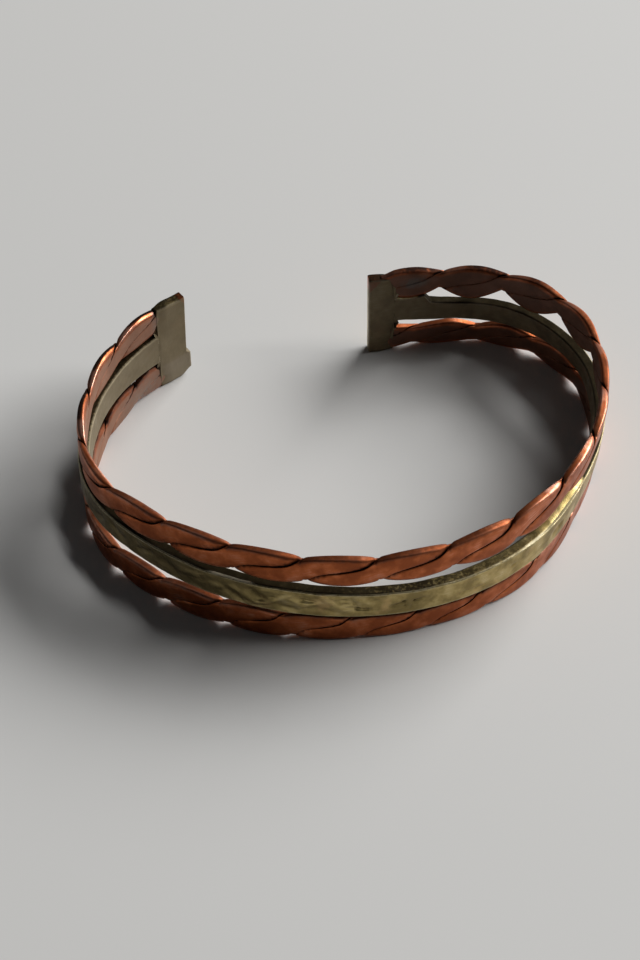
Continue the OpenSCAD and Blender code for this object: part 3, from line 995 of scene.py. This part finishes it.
# Sizes in mm of the brass's clouds, spots, pits and rolling lines, and the depths of its relief.
BRASS_CLOUDS, BRASS_WARM_CLOUDS, BRASS_SPOTS, BRASS_PITS = 2.2, 3.4, 0.35, 0.08
BRASS_LINES = (2.2, 0.06)
BRASS_LINES_DEEP, BRASS_SPOTS_DEEP, BRASS_PITS_DEEP = 0.005, 0.02, 0.004
BRASS_ROUGH, BRASS_SMOOTH = 0.42, 0.3
# Painted shade darkens the outside at the left, where it faces the shaded floor: from X to X in mm,
# how much.
OUTSIDE_SHADE_FROM, OUTSIDE_SHADE_TO, OUTSIDE_SHADE = -24, -8, 0.75

hammered_brass, tree, shader, place = new_metal("hammered_brass")
clouds = speckle(tree, place, BRASS_CLOUDS, 5.0)
warm_clouds = speckle(tree, place, BRASS_WARM_CLOUDS, 3.0)
spots = speckle(tree, place, BRASS_SPOTS, 3.0)
pits = speckle(tree, place, BRASS_PITS, 2.0)
lines = streaks(tree, *BRASS_LINES)
# Olive and warm clouds, rubbed bright along the rolling lines, and painted shade on the outside at
# the left.
colour = blended(tree, spread(tree, clouds, 0.36, 0.6), BRASS_DULL, BRASS_OLIVE)
colour = blended(tree, times(tree, spread(tree, warm_clouds, 0.55, 0.7), 0.6), colour, BRASS_WARM)
polish = times(tree, spread(tree, clouds, 0.5, 0.75), spread(tree, lines, 0.42, 0.62))
colour = blended(tree, times(tree, polish, 0.5), colour, BRASS_BRIGHT)
# Painted shade on the outside at the left.
held = spread(tree, along_x(tree, place), OUTSIDE_SHADE_FROM * MM, OUTSIDE_SHADE_TO * MM, OUTSIDE_SHADE, 0.0)
colour = blended(tree, held, colour, BRASS_SHADED_OUTSIDE)
# Rubbed bright at the corners; copper and tin show in the ends, and a painted highlight runs pale
# along the outer top edge.
rubbed = times(tree, mark(tree, "wear"), spread(tree, spots, 0.3, 0.6, 0.3, 1.0))
colour = blended(tree, times(tree, rubbed, 0.7), colour, BRASS_BRIGHT)
bare_copper = times(tree, mark(tree, "copper"), spread(tree, spots, 0.3, 0.6, 0.6, 1.0))
colour = blended(tree, spread(tree, bare_copper, 0.3, 0.6), colour, COPPER_RED)
colour = blended(tree, times(tree, mark(tree, "tin"), 0.85), colour, END_TIN)
pale = mark(tree, "arris_highlight")
colour = blended(tree, pale, colour, BRASS_HIGHLIGHT)
# Tarnish and painted shade on its upper and lower edges, grime in the creases, and painted shade at
# the right end's foot.
tarnish_and_shade = times(tree, mark(tree, "tarnish_and_shade"), spread(tree, spots, 0.3, 0.6, 0.7, 1.0))
colour = blended(tree, spread(tree, tarnish_and_shade, 0.1, 0.7, 0.0, 0.97), colour, BRASS_TARNISH_AND_SHADE)
dirt_and_shade = times(tree, mark(tree, "grime_and_shade"), spread(tree, spots, 0.3, 0.6, 0.6, 1.0))
colour = blended(tree, spread(tree, dirt_and_shade, 0.1, 1.0), colour, BRASS_GRIME_AND_SHADE)
dirt_and_shade = times(tree, dirt_and_shade, tarnish_and_shade, "ADD")
rough = spread(tree, clouds, 0.35, 0.7, BRASS_ROUGH, BRASS_SMOOTH)
rough = times(tree, rough, times(tree, dirt_and_shade, DIRT_ROUGHER), "ADD")
oxidised(tree, shader, place, colour, rough, BRASS_FILM, pale)
depths = (BRASS_LINES_DEEP, BRASS_SPOTS_DEEP, BRASS_PITS_DEEP)
relief(tree, shader, zip((lines, spots, pits), depths))

strip = tube(
    "brass_strip_hammered",
    last_strip_row,
    STRIP_AROUND,
    strip_point,
    STRIP_GIRTH,
    ("grime_and_shade", "wear", "tarnish_and_shade", "arris_highlight", "inside", "copper", "tin"),
)
strip.data.materials.append(hammered_brass)
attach(strip, "root")
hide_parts("brass_strip")

# The floor that the cuff lies on: plain, pale and matt, and so wide that no edge of it shows.
# It isn't part of the cuff.
FLOOR_HALF = 3.0
FLOOR_PAINT = (0.70, 0.70, 0.695, 1)
FLOOR_ROUGHNESS = 0.7

ground = bmesh.new()
bmesh.ops.create_grid(ground, x_segments=1, y_segments=1, size=FLOOR_HALF)
floor_mesh = bpy.data.meshes.new("floor")
ground.to_mesh(floor_mesh)
ground.free()
floor = bpy.data.objects.new("floor", floor_mesh)
scene.collection.objects.link(floor)
paint = bpy.data.materials.new("floor_paint")
paint.use_nodes = True
paint_shader = paint.node_tree.nodes["Principled BSDF"]
paint_shader.inputs["Base Color"].default_value = FLOOR_PAINT
paint_shader.inputs["Roughness"].default_value = FLOOR_ROUGHNESS
floor.data.materials.append(paint)

# The light: one broad soft window, low at the right and a little behind the cuff, in a dim room.
# Its width makes the shade on the floor soft.
ROOM_LIGHT = 0.03
ROOM_COLOUR = (0.95, 0.98, 1.0, 1)
WINDOW_FROM = (0.78, 0.30, 0.54)
WINDOW_AWAY = 2.0
WINDOW_WIDTH, WINDOW_HEIGHT = 2.12, 1.0
WINDOW_POWER = 66
WINDOW_COLOUR = (1.0, 0.99, 0.97)

room = bpy.data.worlds.new("room")
room.use_nodes = True
background = room.node_tree.nodes["Background"]
background.inputs["Color"].default_value = ROOM_COLOUR
background.inputs["Strength"].default_value = ROOM_LIGHT
scene.world = room

window = bpy.data.objects.new("window", bpy.data.lights.new("window", "AREA"))
window.data.shape = "RECTANGLE"
window.data.size = WINDOW_WIDTH
window.data.size_y = WINDOW_HEIGHT
window.data.energy = WINDOW_POWER
window.data.color = WINDOW_COLOUR
window.location = Vector(WINDOW_FROM).normalized() * WINDOW_AWAY
window.rotation_mode = "QUATERNION"
window.rotation_quaternion = Vector(WINDOW_FROM).to_track_quat("Z", "Y")
scene.collection.objects.link(window)
